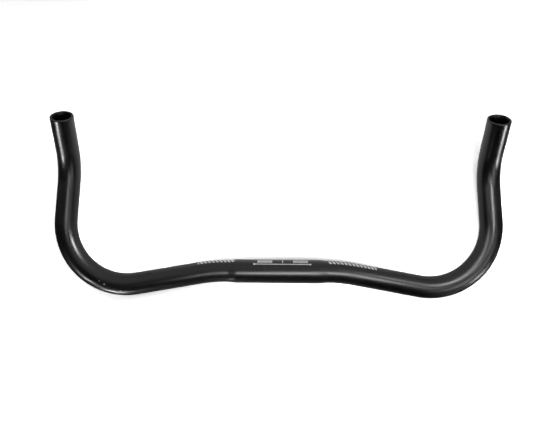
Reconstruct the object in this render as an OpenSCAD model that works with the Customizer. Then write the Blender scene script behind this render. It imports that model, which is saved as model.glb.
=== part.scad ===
// One aluminium tube, bent on both sides to the same plan and cut open at both ends.
// The middle is swaged up to the stem's size and tapers back to the tube's size.
// Frame: x runs along the clamp zone to the rider's right, y forward to the ends, z up.
// The origin is the middle of the clamp zone, on its axis. Units are millimetres.

/* [Tube] */
// Outside diameter of the tube outside the clamp zone
tube_d = 23.8; // [23:0.1:24.6]
// Bore, the same from end to end
bore_d = 19.8; // [18:0.1:20.6]

/* [Clamp zone] */
// Outside diameter where the stem holds the bar
clamp_d = 25.4; // [25:0.1:26]
// Length at the full clamp diameter
clamp_len = 90; // [60:1:91]
// Length of each taper beside it
taper_len = 8; // [4:0.5:8]

/* [Bends] */
// Straight middle length between the two arm bends
centre_len = 108; // [108:1:130]
// Angle by which each arm sweeps back
arm_angle = 10; // [4:0.5:16]
// Centreline radius of the arm bends
arm_r = 180; // [100:5:240]
// Straight length of each arm
arm_len = 68; // [50:1:90]
// Centreline radius of the two big corners
corner_r = 67; // [50:1:80]
// Angle by which the horns lean inwards
toe_in = 3.3; // [0:0.1:8]
// Straight length of each horn up to its kink
horn_len = 37; // [20:1:70]
// Centreline radius of the kink
kink_r = 60; // [45:1:90]
// Angle by which each end rises
rise_angle = 38; // [15:1:50]
// Straight length of each raised end
tip_len = 40; // [34:1:70]

/* [Cut ends] */
// Rounding of the outer edge of each cut end
lip_r = 0.8; // [0.5:0.1:1]
// Small chamfer inside each cut end
burr = 0.4; // [0.2:0.1:0.6]

/* [Hidden] */
$fn = 64;
tube_r = tube_d / 2;
bore_r = bore_d / 2;
clamp_r = clamp_d / 2;
half_centre = centre_len / 2;
plain_len = half_centre - clamp_len / 2 - taper_len;
corner_angle = 90 + arm_angle + toe_in;
lap = 0.5;
proud = 0.03;

handlebar();

// A straight piece of tube along +x from the current place.
module straight(len, r0, r1) {
    rotate([0, 90, 0])
    difference() {
        cylinder(h = len, r1 = r0, r2 = r1);
        translate([0, 0, -1])
        cylinder(h = len + 2, r = bore_r);
    }
}

// A bend that starts along +x and turns towards +y. It runs a little way into the straight
// pieces on both sides, and its skin stands proud by a hair, so that the pieces join as one.
module bend(radius, angle) {
    run_in = lap / radius * 180 / PI;
    translate([0, radius, 0])
    rotate([0, 0, -90 - run_in])
    rotate_extrude(angle = angle + 2 * run_in)
    translate([radius, 0])
    difference() {
        circle(r = tube_r + proud);
        circle(r = bore_r - proud);
    }
}

// Moves what follows to the end of a bend of this radius and angle.
module after_bend(radius, angle) {
    translate([0, radius, 0])
    rotate([0, 0, angle])
    translate([0, -radius, 0])
    children();
}

// The cut end: a short ring with its outer edge rounded and its inner edge chamfered.
module cut_end() {
    rotate([0, 90, 0])
    rotate_extrude()
    difference() {
        union() {
            translate([bore_r, 0])
            square([tube_r - lip_r - bore_r, lip_r]);
            translate([tube_r - lip_r, 0])
            intersection() {
                circle(r = lip_r);
                square([lip_r, lip_r]);
            }
        }
        polygon([[bore_r - 1, lip_r - burr - 1], [bore_r - 1, lip_r + 1],
            [bore_r + burr + 1, lip_r + 1]]);
    }
}

// The rider's right half, in the order in which the tube is bent.
module half_bar() {
    translate([clamp_len / 2, 0, 0])
    straight(taper_len, clamp_r, tube_r);
    translate([clamp_len / 2 + taper_len, 0, 0])
    straight(plain_len, tube_r, tube_r);
    translate([half_centre, 0, 0])
    mirror([0, 1, 0])
    bend(arm_r, arm_angle);
    translate([half_centre, 0, 0])
    after_bend(-arm_r, -arm_angle)
    arm();
}

// The straight arm, then everything after it.
module arm() {
    straight(arm_len, tube_r, tube_r);
    translate([arm_len, 0, 0]) {
        bend(corner_r, corner_angle);
        after_bend(corner_r, corner_angle)
        horn();
    }
}

// The horn up to its kink, then the raised end. The kink bends straight up.
module horn() {
    straight(horn_len, tube_r, tube_r);
    translate([horn_len, 0, 0])
    rotate([90, 0, 0]) {
        bend(kink_r, rise_angle);
        after_bend(kink_r, rise_angle)
        raised_end();
    }
}

module raised_end() {
    straight(tip_len - lip_r, tube_r, tube_r);
    translate([tip_len - lip_r, 0, 0])
    cut_end();
}

module handlebar() {
    color([0.03, 0.03, 0.035])
    union() {
        translate([-clamp_len / 2, 0, 0])
        straight(clamp_len, clamp_r, clamp_r);
        half_bar();
        mirror([1, 0, 0])
        half_bar();
    }
}
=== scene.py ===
import math

import bpy
import numpy as np

from mathutils import Matrix, Vector


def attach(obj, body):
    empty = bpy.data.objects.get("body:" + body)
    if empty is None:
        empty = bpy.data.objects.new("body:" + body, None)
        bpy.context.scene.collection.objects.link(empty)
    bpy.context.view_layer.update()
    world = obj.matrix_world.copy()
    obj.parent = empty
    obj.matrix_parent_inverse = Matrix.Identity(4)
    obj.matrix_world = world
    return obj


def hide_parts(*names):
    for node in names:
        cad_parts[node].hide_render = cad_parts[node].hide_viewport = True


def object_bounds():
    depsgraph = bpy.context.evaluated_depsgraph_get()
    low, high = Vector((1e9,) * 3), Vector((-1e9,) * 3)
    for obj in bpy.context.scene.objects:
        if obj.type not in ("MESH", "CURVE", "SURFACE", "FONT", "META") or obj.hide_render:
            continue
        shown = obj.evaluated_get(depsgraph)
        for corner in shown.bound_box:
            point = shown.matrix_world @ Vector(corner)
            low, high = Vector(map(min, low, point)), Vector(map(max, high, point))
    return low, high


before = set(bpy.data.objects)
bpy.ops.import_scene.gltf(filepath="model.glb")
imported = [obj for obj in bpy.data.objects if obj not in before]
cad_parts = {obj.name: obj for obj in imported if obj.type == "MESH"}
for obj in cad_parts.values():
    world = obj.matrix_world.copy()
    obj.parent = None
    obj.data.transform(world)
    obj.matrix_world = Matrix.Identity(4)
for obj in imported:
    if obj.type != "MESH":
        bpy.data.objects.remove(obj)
cad_box = [list(corner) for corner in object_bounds()]

# The camera looks almost straight down on the bar from a little over half a metre, with a wide
# lens. The lens axis meets the picture above and left of its middle.
lens = bpy.data.cameras.new("overhead camera")
lens.sensor_width = 36.0
lens.lens = 34.784
lens.shift_x = 0.0369
lens.shift_y = -0.0390
lens.clip_start = 0.01
lens.clip_end = 50.0
camera = bpy.data.objects.new("overhead camera", lens)
camera.location = (-0.0170, 0.0610, 0.5891)
camera.rotation_euler = [math.radians(a) for a in (2.230, 0.336, 0.522)]
bpy.context.scene.collection.objects.link(camera)
bpy.context.scene.camera = camera
bpy.context.scene.view_settings.view_transform = "Standard"

# The bar is one drawn aluminium tube of 23.8 mm, swaged up to 25.4 mm where the stem holds it,
# bent cold on both sides to the same plan and sawn off at the ends, with the saw's edge broken.
tube_r, bore_r, clamp_r = 0.0119, 0.0099, 0.0127
clamp_half, taper = 0.045, 0.008
lip, burr = 0.0008, 0.0004
bends = [  # straight before it, centreline radius, angle in degrees, and the axis it turns about
    (0.054, 0.180, -10.0, "up"),
    (0.068, 0.067, 103.3, "up"),
    (0.037, 0.060, 38.0, "across"),
]
raised = 0.040


def turned(v, axis, angle):
    """
    Turns each row of v about a unit axis: the part along the axis stays, and the rest is split
    by the angle's cosine and sine between itself and its cross product with the axis.
    """
    c, s = np.cos(angle)[:, None], np.sin(angle)[:, None]
    return v * c + np.cross(axis, v) * s + axis * (v @ axis)[:, None] * (1 - c)


def right_half(at):
    """
    Point, direction and top side of the centreline at each length from the middle. On a straight
    the point goes along the direction. In a bend all three turn together about its centre.
    """
    at = np.asarray(at, float)
    place, along, top = np.zeros((len(at), 3)), np.zeros((len(at), 3)), np.zeros((len(at), 3))
    p, t, u, start = np.zeros(3), np.array([1.0, 0, 0]), np.array([0, 0, 1.0]), 0.0
    for straight, radius, degrees, about in bends + [(raised, 0.0, 0.0, None)]:
        on = at >= start - 1e-9
        place[on], along[on], top[on] = p + (at[on] - start)[:, None] * t, t, u
        p, start = p + straight * t, start + straight
        if about is None:
            break
        axis = np.array([0, 0, 1.0]) if about == "up" else np.cross(t, u)
        swing = math.radians(degrees)
        out = np.cross(axis, t) * math.copysign(1.0, swing)
        centre = p + radius * out
        on = at >= start - 1e-9
        angle = np.clip((at[on] - start) / radius, 0, abs(swing)) * math.copysign(1.0, swing)
        rows = np.ones((int(on.sum()), 1))
        place[on] = centre + turned(rows * (p - centre), axis, angle)
        along[on] = turned(rows * t, axis, angle)
        top[on] = turned(rows * u, axis, angle)
        end = np.array([swing])
        p = centre + turned((p - centre)[None], axis, end)[0]
        t, u = turned(t[None], axis, end)[0], turned(u[None], axis, end)[0]
        start += radius * abs(swing)
    return place, along, top


def whole_bar(at):
    """
    The same three for lengths on both sides of the middle. The left half is the right half with x
    changed in sign, and its direction is turned round, so that it still runs to the right.
    """
    place, along, top = right_half(np.abs(at))
    left = at < 0
    place[left, 0] *= -1
    along[left] *= [1, -1, -1]
    top[left, 0] *= -1
    return place, along, top


half_length = sum(s + r * math.radians(abs(d)) for s, r, d, _ in bends) + raised

# along the outside from left to right, round the right lip, back through the bore, round the left lip
count = 211
outer_at = np.unique(np.r_[np.linspace(0, half_length - lip, count), clamp_half, clamp_half + taper])
outer_at = np.r_[-outer_at[:0:-1], outer_at]
outer_r = np.interp(np.abs(outer_at), [clamp_half, clamp_half + taper], [clamp_r, tube_r])
round_lip = np.radians([22.5, 45.0, 67.5, 90.0])
lip_at = np.r_[half_length - lip + lip * np.sin(round_lip), half_length, half_length - burr]
lip_r = np.r_[tube_r - lip + lip * np.cos(round_lip), bore_r + burr, bore_r]
bore_at = np.linspace(half_length - burr, -half_length + burr, 161)[1:-1]
ring_at = np.r_[outer_at, lip_at, bore_at, -lip_at[::-1]]
ring_r = np.r_[outer_r, lip_r, np.full(len(bore_at), bore_r), lip_r[::-1]]

# each ring is a circle of that radius round the centreline, with its turns counted from the top
# towards the front
place, along, top = whole_bar(ring_at)
front = np.cross(top, along)
around = 96
turns = np.arange(around) / around
circle = np.cos(2 * np.pi * turns)[None, :, None] * top[:, None, :]
circle = circle + np.sin(2 * np.pi * turns)[None, :, None] * front[:, None, :]
points = place[:, None, :] + ring_r[:, None, None] * circle
rings = len(ring_at)
i, j = np.meshgrid(np.arange(rings), np.arange(around), indexing="ij")
i2, j2 = (i + 1) % rings, (j + 1) % around
faces = np.stack([i * around + j, i * around + j2, i2 * around + j2, i2 * around + j], -1).reshape(-1, 4)

shell = bpy.data.meshes.new("bar tube")
shell.from_pydata(points.reshape(-1, 3).tolist(), [], faces.tolist())
shell.polygons.foreach_set("use_smooth", np.ones(len(faces), bool))

# the flat map of the tube: metres along it from the middle, and turns round it from the top
across = np.stack([turns[j], turns[j] + 1 / around, turns[j] + 1 / around, turns[j]], -1)
across = np.where(across > 0.5 + 1e-6, across - 1.0, across)
wrapped = across.max(-1, keepdims=True) - across.min(-1, keepdims=True) > 0.5
across = np.where(wrapped & (across < 0), across + 1.0, across)
length = np.stack([ring_at[i], ring_at[i], ring_at[i2], ring_at[i2]], -1)
unrolled = shell.uv_layers.new(name="unrolled tube")
unrolled.data.foreach_set("uv", np.stack([length, across], -1).reshape(-1).astype(np.float32))
shell.update()
bar = bpy.data.objects.new("bar_tube", shell)
bpy.context.scene.collection.objects.link(bar)
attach(bar, "root")
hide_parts("handlebar")

# The finish is a satin black anodised skin over fine draw lines that run along the tube. The print
# on the clamp zone is pale ink, one skin thick.
finish = bpy.data.materials.new("satin black skin")
finish.use_nodes = True
tree = finish.node_tree
tree.nodes.clear()


def node(kind, *inputs, **settings):
    """One node of the current tree. Of its inputs in order, a socket is linked and a value is set."""
    made = tree.nodes.new(kind)
    for key, value in settings.items():
        setattr(made, key, value)
    for socket, value in zip(made.inputs, inputs):
        if isinstance(value, bpy.types.NodeSocket):
            tree.links.new(value, socket)
        elif value is not None:
            socket.default_value = value
    return made


def sum_of(operation, *inputs):
    """The value that one Math node gives for these inputs."""
    return node("ShaderNodeMath", *inputs, operation=operation).outputs[0]


def within(value, low, high):
    """1 where the value lies between low and high, and 0 elsewhere."""
    return sum_of("COMPARE", value, (low + high) / 2, (high - low) / 2)


flat = node("ShaderNodeUVMap", uv_map="unrolled tube").outputs["UV"]
parted = node("ShaderNodeSeparateXYZ", flat)
mm = sum_of("MULTIPLY", parted.outputs["X"], 1000.0)
degree = sum_of("MULTIPLY", parted.outputs["Y"], 360.0)


def patch(left, right, low, high):
    """1 inside a rectangle on the unrolled tube, in millimetres along it and degrees round it."""
    return sum_of("MULTIPLY", within(mm, left, right), within(degree, low, high))


degree_mm = math.radians(1000.0 * clamp_r)  # the length of one degree round the clamp zone


def spot(middle, turn, radius):
    """
    1 inside a round spot on the unrolled tube: the squares of the distances along it and round it
    add up to less than the radius squared.
    """
    along_2 = sum_of("POWER", sum_of("SUBTRACT", mm, middle), 2.0)
    round_2 = sum_of("POWER", sum_of("MULTIPLY", sum_of("SUBTRACT", degree, turn), degree_mm), 2.0)
    return sum_of("LESS_THAN", sum_of("ADD", along_2, round_2), radius * radius)


# clamp scale: a fine line with a dot at each end, two hatched blocks in front of it and a centre tick
scale_line = patch(-25.5, 34.5, 39.6, 43.8)
dots = [spot(-25.5, 41.7, 1.05), spot(34.5, 41.7, 1.05)]
hatch = within(sum_of("FRACT", sum_of("DIVIDE", mm, 1.25)), 0.0, 0.7)
blocks = sum_of("ADD", patch(-22.0, -6.0, 50.0, 72.0), patch(16.0, 32.5, 50.0, 74.0))
blocks = sum_of("MULTIPLY", blocks, hatch)
tick = patch(4.5, 5.5, 50.0, 73.0)
# plain slanted bars in the two places beside the clamp zone
slant = sum_of("FRACT", sum_of("DIVIDE", sum_of("ADD", mm, sum_of("MULTIPLY", degree, 0.09)), 4.0))
bars = sum_of("ADD", patch(-84.5, -46.0, 57.0, 86.0), patch(54.5, 104.5, 50.0, 84.0))
bars = sum_of("MULTIPLY", bars, within(slant, 0.0, 0.62))
# three small pale spots on the outer side of the left bend: painted highlights where glints fall
painted_glint_spots = [spot(-191.5, -3.0, 0.50), spot(-185.5, -9.0, 0.65), spot(-168.5, -31.0, 0.50)]
# the pale colour covers the print and also the painted highlight spots on the left bend
print_and_glint_mask = scale_line
for part in dots + [blocks, tick, bars] + painted_glint_spots:
    print_and_glint_mask = sum_of("MAXIMUM", print_and_glint_mask, part)

# fine lines drawn out along the tube, soft clouds in the gloss and tone, and a fine ripple
here = node("ShaderNodeTexCoord").outputs["Object"]
drawn = node("ShaderNodeCombineXYZ", sum_of("MULTIPLY", mm, 0.02), degree, 0.0).outputs[0]
lines = node("ShaderNodeTexNoise", drawn, None, 0.35, 2.0, 0.5).outputs[0]
cloud = node("ShaderNodeTexNoise", here, None, 40.0, 3.0, 0.5).outputs[0]
speck = node("ShaderNodeTexNoise", here, None, 900.0, 2.0, 0.6).outputs[0]
gloss = node("ShaderNodeMapRange", cloud, 0.3, 0.7, 0.27, 0.33).outputs[0]
gloss = sum_of("ADD", gloss, sum_of("MULTIPLY", sum_of("SUBTRACT", lines, 0.5), 0.05))
tint = node("ShaderNodeMix", cloud, data_type="RGBA")
tint.inputs["A"].default_value = (0.0010, 0.0010, 0.0012, 1)
tint.inputs["B"].default_value = (0.0020, 0.0020, 0.0022, 1)
# the base colour is near black, and pale where the print and the painted highlight spots are
coat = node("ShaderNodeMix", print_and_glint_mask, data_type="RGBA")
tree.links.new(tint.outputs["Result"], coat.inputs["A"])
coat.inputs["B"].default_value = (0.52, 0.52, 0.50, 1)
ripple = node("ShaderNodeBump", 0.05, 0.0001)
tree.links.new(speck, ripple.inputs["Height"])
skin = node("ShaderNodeBsdfPrincipled")
skin.inputs["IOR"].default_value = 1.5
tree.links.new(coat.outputs["Result"], skin.inputs["Base Color"])
tree.links.new(gloss, skin.inputs["Roughness"])
tree.links.new(ripple.outputs["Normal"], skin.inputs["Normal"])
surface = node("ShaderNodeOutputMaterial")
tree.links.new(skin.outputs["BSDF"], surface.inputs["Surface"])
shell.materials.append(finish)

# The floor is a matt sheet that the bar lies on. The camera sees it as white paper, with a little
# glow towards its edges, where the lamps fall off. The gloss of the bar sees a painted glow on the
# sheet instead of the lit paper: bright only inside the horns and dark elsewhere, a painted
# reflection with painted shade outside the horns, as the dark sides of the real bar show it.
floor_z = cad_box[0][2]
sheet = bpy.data.meshes.new("floor sheet")
wide = 6.0
corners = [(x * wide, y * wide, floor_z) for x, y in ((-1, -1), (1, -1), (1, 1), (-1, 1))]
sheet.from_pydata(corners, [], [(0, 1, 2, 3)])
floor = bpy.data.objects.new("floor_sheet", sheet)
bpy.context.scene.collection.objects.link(floor)
paper = bpy.data.materials.new("floor paper")
paper.use_nodes = True
tree = paper.node_tree
tree.nodes.clear()
ray = node("ShaderNodeLightPath")
on_sheet = node("ShaderNodeTexCoord").outputs["Object"]
inside = (0.0, 0.25, 0.0)  # the place between the horns from which the sheet's light falls off
away = node("ShaderNodeVectorMath", on_sheet, inside, operation="DISTANCE").outputs["Value"]
# painted reflection: seen only in the bar's gloss, the sheet glows brightly between the horns and fades to
# dark away from them, which is painted shade
fall = node("ShaderNodeMapRange", away, 0.2, 0.36, 0.9, 0.02).outputs[0]
painted_reflection_glow = node("ShaderNodeEmission", (1, 1, 1, 1), fall)
dim = node("ShaderNodeBsdfDiffuse", (0.45, 0.45, 0.45, 1))
edge_glow = node("ShaderNodeMapRange", away, 0.24, 0.40, 0.02, 0.38).outputs[0]
glow = node("ShaderNodeEmission", (1, 1, 1, 1), edge_glow)
bright = node("ShaderNodeBsdfDiffuse", (1.8, 1.8, 1.8, 1))
white = node("ShaderNodeAddShader", glow.outputs[0], bright.outputs[0])
unseen = node("ShaderNodeMixShader", ray.outputs["Is Glossy Ray"], dim.outputs[0], painted_reflection_glow.outputs[0])
mixed = node("ShaderNodeMixShader", ray.outputs["Is Camera Ray"], unseen.outputs[0], white.outputs[0])
tree.links.new(mixed.outputs[0], node("ShaderNodeOutputMaterial").inputs["Surface"])
sheet.materials.append(paper)

# Studio light: one wide soft box overhead for the paper, narrow ones that each light one length of
# the bar, and a pale room that is dark on the rider's side.


def soft_box(name, where, at, across, size, radiance, spread=180.0):
    """
    A rectangular lamp that faces a point, with its long side across. Its power is radiance times
    area times pi, times what the spread leaves of it: one less the half angle over its tangent.
    """
    lamp = bpy.data.lights.new(name, "AREA")
    lamp.shape, lamp.size, lamp.size_y = "RECTANGLE", size[0], size[1]
    half = math.radians(spread) / 2
    lamp.energy = radiance * size[0] * size[1] * math.pi * (1 - half / math.tan(half))
    lamp.spread = 2 * half
    held = bpy.data.objects.new(name, lamp)
    held.location = where
    back = (Vector(where) - Vector(at)).normalized()
    up = back.cross(Vector(across)).normalized()
    held.rotation_euler = Matrix((up.cross(back), up, back)).transposed().to_euler()
    bpy.context.scene.collection.objects.link(held)


soft_box("overhead box", (0.155, -0.15, 1.0), (0.10, 0.0, 0.0), (0.82, 0.57, 0), (0.50, 0.30), 4.5)

# a strip of nine boxes gives the long light line on the middle and the right arm, and fades at its ends
for step in range(9):
    where = (-0.090 + 0.042 * step, -0.190 + 0.019 * step, 0.5)
    lit_place = (-0.055 + 0.022 * step, 0.0, 0.0)
    radiance = float(np.interp(step, [0, 1, 6, 8], [4.0, 9.2, 9.2, 3.5]))
    soft_box("overhead strip", where, lit_place, (1, 0, 0), (0.075, 0.16), radiance, 30.0)

# a short patch of light on each horn
soft_box("right horn box", (0.285, 0.085, 0.45), (0.229, 0.086, 0.0), (1, 0, 0), (0.07, 0.07), 170.0, 9.0)
soft_box("left horn box", (-0.12, 0.075, 0.45), (-0.226, 0.079, 0.0), (1, 0, 0), (0.07, 0.07), 24.0, 12.0)

# the main line round the right corner, from boxes on an arc behind the bar
for where, lit_place in (
    ((-0.19, 0.18, 0.5), (0.225, 0.04, 0.0)),
    ((-0.02, 0.29, 0.5), (0.225, 0.02, 0.0)),
    ((0.15, 0.27, 0.5), (0.220, 0.00, 0.0)),
    ((0.27, 0.21, 0.5), (0.210, -0.01, 0.0)),
    ((0.33, 0.22, 0.5), (0.195, -0.01, 0.0)),
):
    soft_box("back box", where, lit_place, (1, 0, 0), (0.17, 0.20), 17.0, 20.0)

# the inner line of the left corner, and the second line of the right one
left_inner = (-0.222, 0.02, 0)
soft_box("back right box", (0.27, 0.31, 0.405), left_inner, (-0.144, 0.169, 0.063), (0.26, 0.17), 75.0, 22.0)
soft_box("right sheet", (0.87, -0.50, 1.0), (0.22, 0.0, 0.0), (0, 1, 0), (0.95, 0.25), 8.0, 60.0)

# the bright lines on the raised ends, from low in front
right_end, left_end = (0.23, 0.130, 0.025), (-0.23, 0.130, 0.025)
soft_box("front right box", (0.72, -0.27, 0.15), right_end, (0.57, 0.82, 0), (0.25, 0.18), 60.0, 19.0)
soft_box("front left box", (-0.62, -0.34, 0.23), left_end, (-0.79, 0.61, 0), (0.20, 0.28), 68.0, 19.0)

# thin rims of light along the outer edges of both corners
left_outer, right_outer = (-0.178, -0.02, 0.0), (0.19, -0.02, 0.0)
soft_box("left bend box", (-0.62, -1.13, 0.02), left_outer, (-0.92, 0.39, 0), (0.40, 0.07), 200.0, 18.0)
soft_box("right bend box", (0.80, -0.95, 0.05), right_outer, (0.92, 0.39, 0), (0.50, 0.05), 10.0, 30.0)

room = bpy.data.worlds.new("pale room")
bpy.context.scene.world = room
room.use_nodes = True
tree = room.node_tree
tree.nodes.clear()
facing = node("ShaderNodeSeparateXYZ", node("ShaderNodeTexCoord").outputs["Generated"]).outputs["Y"]
shade = node("ShaderNodeMapRange", facing, -0.02, 0.35, 0.002, 0.65).outputs[0]
ray = node("ShaderNodeLightPath")
level = node("ShaderNodeMix", ray.outputs["Is Camera Ray"], None, shade, 1.0)
air = node("ShaderNodeBackground", (1, 1, 1, 1), level.outputs[0])
tree.links.new(air.outputs[0], node("ShaderNodeOutputWorld").inputs["Surface"])
